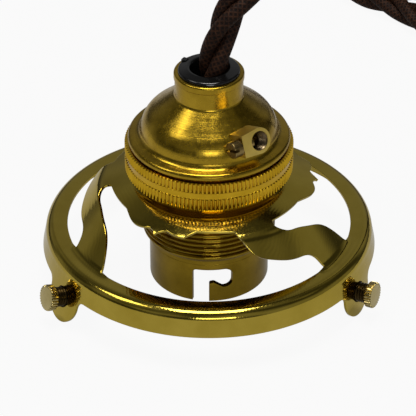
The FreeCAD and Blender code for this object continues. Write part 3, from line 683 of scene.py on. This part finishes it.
def make_barrel():
    """Barrel: helical thread and flange above, plain wall with two bayonet slots below."""
    top, bottom, depth, pitch, seam = 26.4, 12.1, 0.5, 1.13, 9.4
    crest = THREAD_RADIUS
    shoulder = rounded_line([(WALL_RADIUS, seam, 0), (WALL_RADIUS, 10.5, 0.8), (crest, 11.7, 0.25),
                             (crest, bottom, 0)])
    outer = [tuple(p) for p in shoulder]
    outer += [(crest, z) for z in np.arange(bottom + 0.1, top, 0.1)]
    outer += [(crest, 26.5), (crest, 26.95), (15.6, 26.95), (15.7, 27.05), (15.7, 27.8), (15.6, 27.9)]
    bore = [(13.1, 27.9), (13.0, 27.8), (13.0, 12.9), (12.9, 12.75), (11.8, 11.7), (WALL_BORE, 11.5),
            (WALL_BORE, seam)]

    def thread(angle, points):
        height = points[:, 1]
        wave = 0.5 - 0.66 * np.cos(2 * math.pi * ((top - height) / pitch + angle / (2 * math.pi)))
        ends = np.clip(np.minimum((top - height) / 0.5, (height - bottom) / 0.5), 0, 1)
        cut = depth * ends * (1 - np.clip(wave, 0, 1))
        return np.where(np.abs(points[:, 0] - crest) < 0.01, cut, 0.0)

    upper, upper_faces = lathe(np.array(outer + bore), 240, thread)

    def place(azimuth, s):
        c, d = math.cos(azimuth), math.sin(azimuth)
        return (WALL_RADIUS * c, WALL_RADIUS * d, seam - s), (WALL_BORE * c, WALL_BORE * d, seam - s)

    slot = divided(rounded_line(SLOT_LINE, step=8.0), 0.4)
    outline = []
    for index, azimuth in enumerate(SLOT_AZIMUTHS):
        for x, z in slot:
            outline.append((math.radians(azimuth) + math.asin(x / WALL_RADIUS), seam - z))
        here = azimuth + math.degrees(math.asin(slot[-1][0] / WALL_RADIUS))
        following = SLOT_AZIMUTHS[(index + 1) % 2] + (360 if index else 0)
        there = following + math.degrees(math.asin(slot[0][0] / WALL_RADIUS))
        for angle in np.linspace(here, there, 120)[1:-1]:
            outline.append((math.radians(angle), seam))
    edge = np.array([(2 * math.pi * k / 240, 0.0) for k in range(240)])
    rows = np.arange(0.4, seam - 0.2, 0.5)
    lower, lower_faces = sheet_solid(np.array(outline), [edge], rows, 10.0, place, 0.06, 200)
    vertices = np.concatenate([upper, lower])
    faces = upper_faces + [tuple(len(upper) + v for v in face) for face in lower_faces]
    add_piece("threaded_barrel", vertices, faces, [MATERIALS["barrel_brass"]], "holder", ["barrel"],
              sharp=50.0)


def make_cap():
    """Spun dome with neck and rolled rim, turned finely."""
    z = CAP_BOTTOM
    corners = [
        (16.4, z, 0), (16.4, z + 0.3, 0.05), (17.1, z + 0.38, 0.12), (17.1, z + 1.45, 0.8),
        (14.6, z + 1.9, 1.5), (14.0, z + 5.7, 6.0), (7.15, z + 11.05, 0.9), (7.15, z + 14.85, 0),
        (7.35, z + 15.05, 0.15), (7.35, z + 16.5, 0.45),
        (6.2, z + 16.5, 0.2), (6.2, z + 10.3, 1.0), (13.05, z + 5.1, 5.05), (13.65, z + 0.9, 0.5),
        (15.0, z - 0.2, 0.2), (15.0, 29.5, 0), (16.0, 29.5, 0.2), (16.0, z, 0),
    ]
    profile = rounded_line(corners, closed=True, step=5.0)
    vertices, faces = lathe(profile, 240)
    add_piece("spun_cap", vertices, faces, [MATERIALS["spun_brass"]], "holder", ["cap"])


def make_collar():
    """Union ring with two bands of straight knurling and a smooth groove between them."""
    teeth = 126
    root, chamfer, crown, bore = 17.46, 17.66, 17.8, 16.08
    corners = [
        (14.35, 26.0, 0.15), (17.35, 26.0, 0.25), (root, 26.55, 0), (chamfer, 26.6, 0),
        (crown, 26.75, 0), (crown, 29.15, 0), (chamfer, 29.3, 0), (root + 0.06, 29.34, 0),
        (root, 30.0, 0), (root + 0.06, 30.66, 0), (chamfer, 30.7, 0), (crown, 30.85, 0),
        (crown, 32.85, 0), (chamfer, 33.0, 0), (17.1, 33.1, 0), (bore, 33.1, 0), (bore, 26.9, 0),
        (14.35, 26.9, 0),
    ]

    def knurl(angle, points):
        phase = (angle * teeth / (2 * math.pi)) % 1.0
        depth = 0.38 * max(0.0, 1.0 - abs(phase - 0.5) / 0.42)
        return np.where(points[:, 0] > root + 0.1, np.minimum(depth, points[:, 0] - root), 0.0)

    vertices, faces = lathe(rounded_line(corners, closed=True, step=15.0), teeth * 8, knurl)
    add_piece("union_collar", vertices, faces, [MATERIALS["collar_brass"]], "collar",
              ["knurled_collar"], sharp=30.0)


def tab_frame(azimuth, lean):
    """Origin on the skirt's foot, then across, up in the tab's plane, and outwards."""
    a, t = math.radians(azimuth), math.radians(lean)
    flat = np.array((math.cos(a), math.sin(a), 0))
    across = np.array((-math.sin(a), math.cos(a), 0))
    outwards = flat * math.cos(t) + np.array((0, 0, math.sin(t)))
    return flat * FOOT_RADIUS + np.array((0, 0, FOOT_Z)), across, np.cross(outwards, across), outwards


def make_thumb(name, azimuth, lean):
    """Knurled head and dark threaded shank along the tab's own axis, and the tab's tapped neck, dark as
    painted shade in the hole around the shank.
    """
    origin, across, up, outwards = tab_frame(azimuth, lean)
    foot = origin - up * THUMB_DROP

    def laid(vertices):
        return foot + vertices[:, :1] * across + vertices[:, 1:2] * up + vertices[:, 2:] * outwards

    head_radius, head_start, head_end = 2.8, 2.36, 3.9
    ridges = []
    z = -5.0
    while z < 2.2:
        ridges += [(1.9, z), (2.1, z + 0.22), (2.1, z + 0.3), (1.9, z + 0.52)]
        z += 0.6
    profile = np.array([(0, -5.4), (1.75, -5.4)] + ridges + [(1.85, 2.5), (1.85, 2.65), (0, 2.65)])
    shank, shank_faces = lathe(profile, 40)
    head_line = rounded_line([(0, head_start, 0), (head_radius - 0.02, head_start, 0.2),
                              (head_radius, head_end, 0.28), (0, head_end, 0)], False, 30.0)
    teeth = 28

    def knurl(angle, points):
        phase = (angle * teeth / (2 * math.pi)) % 1.0
        depth = 0.34 * max(0.0, math.cos(2 * math.pi * phase)) ** 0.8
        return np.where(points[:, 0] > head_radius - 0.3, depth, 0.0)

    head, head_faces = lathe(head_line, teeth * 6, knurl)
    vertices = np.concatenate([laid(shank), laid(head)])
    faces = shank_faces + [tuple(len(shank) + v for v in face) for face in head_faces]
    chosen = [1] * len(shank_faces) + [0] * len(head_faces)
    add_piece("thumb_%s" % name, vertices, faces, [MATERIALS["screw_brass"], DARK_THREAD_AND_SHADE],
              "screw_%s" % name, ["thumb_screw_%s" % name], sharp=40.0, chosen=chosen)
    # The tapped neck is dark brass as painted shade in the hole around the shank
    ring = rounded_line([(2.2, -1.8, 0.05), (3.0, -1.8, 0.15), (3.0, -0.6, 0.05), (2.2, -0.4, 0.05)],
                        True, 30.0)
    neck, neck_faces = lathe(ring, 48)
    add_piece("tapped_neck_%s" % name, laid(neck), neck_faces, [DARK_THREAD_AND_SHADE], "holder", ())


make_gallery()
make_barrel()
make_cap()
make_collar()
for tab_name, (tab_azimuth, tab_lean) in TABS.items():
    make_thumb(tab_name, tab_azimuth, tab_lean)


def make_spring(name):
    """The contact's wound spring, drawn at rest; in the lampholder it shortens towards the terminal as
    the plunger goes in.
    """
    low, high = np.array(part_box("spring_" + name)) / MM
    middle = (low + high) / 2
    wire, turns, travel, around, sides = 0.24, 4, 3.3, 28, 10
    radius = (high[0] - low[0]) / 2 - wire
    rise = high[2] - low[2] - 2 * wire
    angles = np.linspace(0, 2 * math.pi * turns, turns * around + 1)
    out = np.stack([np.cos(angles), np.sin(angles), 0 * angles], axis=1)
    up = np.array((0, 0, 1))
    line = out * radius + up * (rise * np.linspace(0, 1, len(angles)))[:, None]
    line += (middle[0], middle[1], low[2] + wire)
    vertices = []
    for centre, outwards in zip(line, out):
        for side in range(sides):
            turn = 2 * math.pi * side / sides
            vertices.append(centre + wire * (math.cos(turn) * outwards + math.sin(turn) * up))
    faces = [tuple(range(sides)), tuple(range(len(vertices) - 1, len(vertices) - 1 - sides, -1))]
    for ring in range(len(angles) - 1):
        for side in range(sides):
            a, b = ring * sides + side, ring * sides + (side + 1) % sides
            faces.append((a, a + sides, b + sides, b))
    coil = add_piece("coil_spring_" + name, vertices, faces, [MATERIALS["spring_steel"]], "holder",
                     ["spring_" + name])
    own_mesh(coil)


make_spring("live")
make_spring("neutral")


def make_earth_hole():
    """Fine thread inside the terminal's wire hole, and a floor below it, both dark brass as painted
    shade in the hole.
    """
    azimuth, tilt = math.radians(-52.0), math.radians(20.0)
    mouth_radius, mouth_height, mouth_aside = 15.85, CAP_BOTTOM + 6.98, 0.8
    flat = np.array((math.cos(azimuth), math.sin(azimuth), 0))
    outwards = flat * math.cos(tilt) + np.array((0, 0, math.sin(tilt)))
    side = np.array((-math.sin(azimuth), math.cos(azimuth), 0))
    up = np.cross(outwards, side)
    centre = flat * mouth_radius + np.array((0, 0, mouth_height)) + side * mouth_aside
    line = [(2.045, -0.15)]
    z = -0.3
    while z > -4.4:
        line += [(1.96, z), (1.78, z - 0.16), (1.78, z - 0.22), (1.96, z - 0.38)]
        z -= 0.42
    line += [(1.96, -4.8), (0, -4.9)]
    radii = np.array(line)
    turns = 40
    vertices = []
    for turn in range(turns):
        angle = 2 * math.pi * turn / turns
        for r, z in radii[:-1]:
            around = side * r * math.cos(angle) + up * r * math.sin(angle)
            vertices.append(centre + around + outwards * z)
    count = len(radii) - 1
    faces = []
    for turn in range(turns):
        here, there = turn * count, ((turn + 1) % turns) * count
        for index in range(count - 1):
            faces.append((here + index, here + index + 1, there + index + 1, there + index))
        faces.append((here + count - 1, turns * count, there + count - 1))
    vertices.append(centre - outwards * 4.9)
    add_piece("earth_hole_thread", vertices, faces, [PAINTED_HOLE_SHADE], "holder", (),
              sharp=30.0)


make_earth_hole()


def racetrack(radius, place):
    """One control point of a turn of the coil, clockwise from the front straight's left end."""
    steps = 6
    spread = radius / math.cos(math.pi / steps / 2)
    cx, cy = HANK_CENTRE
    points = []
    for index in range(steps):
        angle = math.radians(270) - (index + 0.5) * math.pi / steps
        points.append((cx + spread * math.cos(angle), cy + spread * math.sin(angle)))
    points.append((cx + HANK_STRAIGHT * 0.5, cy + radius))
    for index in range(steps):
        angle = math.radians(90) - (index + 0.5) * math.pi / steps
        points.append((cx + HANK_STRAIGHT + spread * math.cos(angle), cy + spread * math.sin(angle)))
    points.append((cx + HANK_STRAIGHT * 0.5, cy - radius))
    return points[place]


def cord_points():
    """Control points of the flex: the route from the bush, then the coil's four turns."""
    points = [Vector(p) for p in ROUTE]
    layers = [(HANK_OUTER, FLEX_LIE), (HANK_OUTER, FLEX_LIE + 2 * FLEX_RADIUS),
              (HANK_INNER, FLEX_LIE + 2 * FLEX_RADIUS), (HANK_INNER, FLEX_LIE)]
    per_turn, change_from = 14, 11
    for turn, (radius, height) in enumerate(layers):
        following = layers[turn + 1] if turn < len(layers) - 1 else (radius, height)
        for index in range(per_turn):
            if turn == 0 and index == 0:
                continue
            blend = max(0.0, (index - change_from) / (per_turn - change_from))
            r = radius + (following[0] - radius) * blend
            z = height + (following[1] - height) * blend
            x, y = racetrack(r, index)
            points.append(Vector((x, y, z)))
    return points


def nurbs_curve(points, name):
    data = bpy.data.curves.new(name, "CURVE")
    data.dimensions = "3D"
    data.resolution_u = 14
    spline = data.splines.new("NURBS")
    spline.points.add(len(points) - 1)
    for control, point in zip(spline.points, points):
        control.co = (point.x * MM, point.y * MM, point.z * MM, 1)
    spline.order_u = 3
    spline.use_endpoint_u = True
    return bpy.data.objects.new(name, data)


def read_path(points):
    """Points in metres of the smooth line that these control points draw."""
    guide = nurbs_curve(points, "flex_route")
    mesh = bpy.data.meshes.new_from_object(guide)
    path = np.array([v.co[:] for v in mesh.vertices])
    bpy.data.meshes.remove(mesh)
    bpy.data.objects.remove(guide)
    return path


def resample(path, step):
    """The same line at even steps, with how far along each point is."""
    lengths = np.r_[0, np.cumsum(np.linalg.norm(np.diff(path, axis=0), axis=1))]
    count = int(lengths[-1] / step) + 1
    at = np.linspace(0, lengths[-1], count)
    return np.stack([np.interp(at, lengths, path[:, k]) for k in range(3)], axis=1), at


def frames_along(path):
    """Tangents with normals carried along without twist."""
    tangents = np.gradient(path, axis=0)
    tangents /= np.linalg.norm(tangents, axis=1)[:, None]
    normals = np.zeros_like(path)
    start = np.cross(tangents[0], (0, 1, 0))
    normals[0] = start / np.linalg.norm(start)
    for index in range(1, len(path)):
        carried = normals[index - 1] - tangents[index] * np.dot(normals[index - 1], tangents[index])
        normals[index] = carried / np.linalg.norm(carried)
    return tangents, normals, np.cross(tangents, normals)


def make_flex():
    """Three braided cores laid around each other along the flex's own line."""
    points, at = resample(read_path(cord_points()), 1.1 * MM)
    _, normals, binormals = frames_along(points)
    core, lay, pitch, sides = 1.58 * MM, 1.8 * MM, 36.0 * MM, 18
    vertices = []
    faces = []
    uvs = []
    for strand in range(3):
        angle = 2 * math.pi * (at / pitch + strand / 3.0) + 0.6
        centre = points + lay * (np.cos(angle)[:, None] * normals + np.sin(angle)[:, None] * binormals)
        _, normal, binormal = frames_along(centre)
        base = len(vertices)
        wobble = 1 + 0.012 * np.sin(at * 900 + strand)
        for index in range(len(points)):
            for side in range(sides):
                turn = 2 * math.pi * side / sides
                offset = math.cos(turn) * normal[index] + math.sin(turn) * binormal[index]
                vertices.append(centre[index] + core * wobble[index] * offset)
        for index in range(len(points) - 1):
            for side in range(sides):
                following = (side + 1) % sides
                a = base + index * sides + side
                b = base + index * sides + following
                faces.append((a, b, b + sides, a + sides))
                u0, u1 = at[index] / MM, at[index + 1] / MM
                v0, v1 = side / sides, (side + 1) / sides
                uvs.extend([(u0, v0), (u0, v1), (u1, v1), (u1, v0)])
        last = base + (len(points) - 1) * sides
        faces.append(tuple(base + side for side in reversed(range(sides))))
        uvs.extend([(0, 0)] * sides)
        faces.append(tuple(last + side for side in range(sides)))
        uvs.extend([(0, 0)] * sides)
    mesh = bpy.data.meshes.new("flex_cores")
    mesh.from_pydata([tuple(v) for v in vertices], [], faces)
    layer = mesh.uv_layers.new(name="braid")
    layer.data.foreach_set("uv", np.array(uvs, dtype=np.float32).ravel())
    mesh.polygons.foreach_set("use_smooth", [True] * len(mesh.polygons))
    mesh.materials.append(MATERIALS["flex_braid"])
    mesh.update()
    obj = bpy.data.objects.new("flex_cores", mesh)
    scene.collection.objects.link(obj)
    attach(obj, "holder")
    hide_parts("flex", "flex_hank")


make_flex()


def seen_share(tree, camera, reflected):
    """How much white a ray sees here: camera rays, then rays off metal and through glass."""
    path = tree.nodes.new("ShaderNodeLightPath")
    shares = {"Is Camera Ray": camera, "Is Glossy Ray": reflected, "Is Transmission Ray": reflected}
    total = None
    for kind, share in shares.items():
        part = tree.nodes.new("ShaderNodeMath")
        part.operation = "MULTIPLY"
        part.inputs[1].default_value = share
        tree.links.new(path.outputs[kind], part.inputs[0])
        if total is None:
            total = part
            continue
        joined = tree.nodes.new("ShaderNodeMath")
        joined.operation = "ADD"
        joined.use_clamp = True
        tree.links.new(total.outputs[0], joined.inputs[0])
        tree.links.new(part.outputs[0], joined.inputs[1])
        total = joined
    return total.outputs[0]


def make_floor():
    """Pale floor, near white to the camera, that keeps a faint shadow. Its half side is in metres."""
    half = 0.7
    z = FLOOR_Z * MM
    mesh = bpy.data.meshes.new("floor")
    mesh.from_pydata([(-half, -half, z), (half, -half, z), (half, half, z), (-half, half, z)], [],
                     [(0, 1, 2, 3)])
    obj = bpy.data.objects.new("floor", mesh)
    nodes = Nodes("floor")
    shader = nodes.principled(Base_Color=(0.42, 0.42, 0.42, 1), Roughness=0.8)
    emission = nodes.add("Emission", Strength=1.0)
    mix = nodes.add("MixShader")
    nodes.link(seen_share(nodes.tree, 0.93, 0.3), mix.inputs[0])
    nodes.link(shader.outputs[0], mix.inputs[1])
    nodes.link(emission.outputs[0], mix.inputs[2])
    nodes.link(mix.outputs[0], nodes.output.inputs["Surface"])
    mesh.materials.append(nodes.material)
    scene.collection.objects.link(obj)


def lamp(name, location, target, size, power, colour=(1, 1, 1), size_y=None):
    """An area lamp; places and sizes in metres, power in watts."""
    data = bpy.data.lights.new(name, "AREA")
    data.shape = "RECTANGLE"
    data.size = size
    data.size_y = size_y or size
    data.energy = power
    data.color = colour
    obj = bpy.data.objects.new(name, data)
    obj.location = location
    obj.rotation_euler = (Vector(target) - Vector(location)).to_track_quat("-Z", "Y").to_euler()
    scene.collection.objects.link(obj)


def make_studio():
    """Floor, three lamps, and a room that is dim to the metal and white to the camera."""
    make_floor()
    lamp("overhead", (0.0, 0.02, 0.95), (0, 0, 0.02), 0.4, 5.4, (1.0, 0.98, 0.95))
    lamp("glow", (-0.50, 0.0, 0.84), (0, 0, 0.03), 0.3, 1.25, (1.0, 0.97, 0.92))
    lamp("front", (0.08, -1.0, 0.38), (0, 0, 0.02), 0.45, 1.5, (1, 1, 1), 0.22)
    world = bpy.data.worlds.new("world")
    scene.world = world
    world.use_nodes = True
    tree = world.node_tree
    tree.nodes.clear()
    output = tree.nodes.new("ShaderNodeOutputWorld")
    room = tree.nodes.new("ShaderNodeBackground")
    room.inputs["Color"].default_value = (1, 1, 1, 1)
    direction = tree.nodes.new("ShaderNodeTexCoord")
    clouds = tree.nodes.new("ShaderNodeTexNoise")
    clouds.inputs["Scale"].default_value = 1.7
    clouds.inputs["Detail"].default_value = 1.0
    tree.links.new(direction.outputs["Generated"], clouds.inputs["Vector"])
    spread = tree.nodes.new("ShaderNodeMapRange")
    for key, value in (("From Min", 0.38), ("From Max", 0.62), ("To Min", 0.03), ("To Max", 0.24)):
        spread.inputs[key].default_value = value
    tree.links.new(clouds.outputs["Fac"], spread.inputs["Value"])
    tree.links.new(spread.outputs["Result"], room.inputs["Strength"])
    white = tree.nodes.new("ShaderNodeBackground")
    white.inputs["Color"].default_value = (0.96, 0.96, 0.96, 1)
    mix = tree.nodes.new("ShaderNodeMixShader")
    tree.links.new(seen_share(tree, 1.0, 0.02), mix.inputs[0])
    tree.links.new(room.outputs[0], mix.inputs[1])
    tree.links.new(white.outputs[0], mix.inputs[2])
    tree.links.new(mix.outputs[0], output.inputs["Surface"])


make_studio()
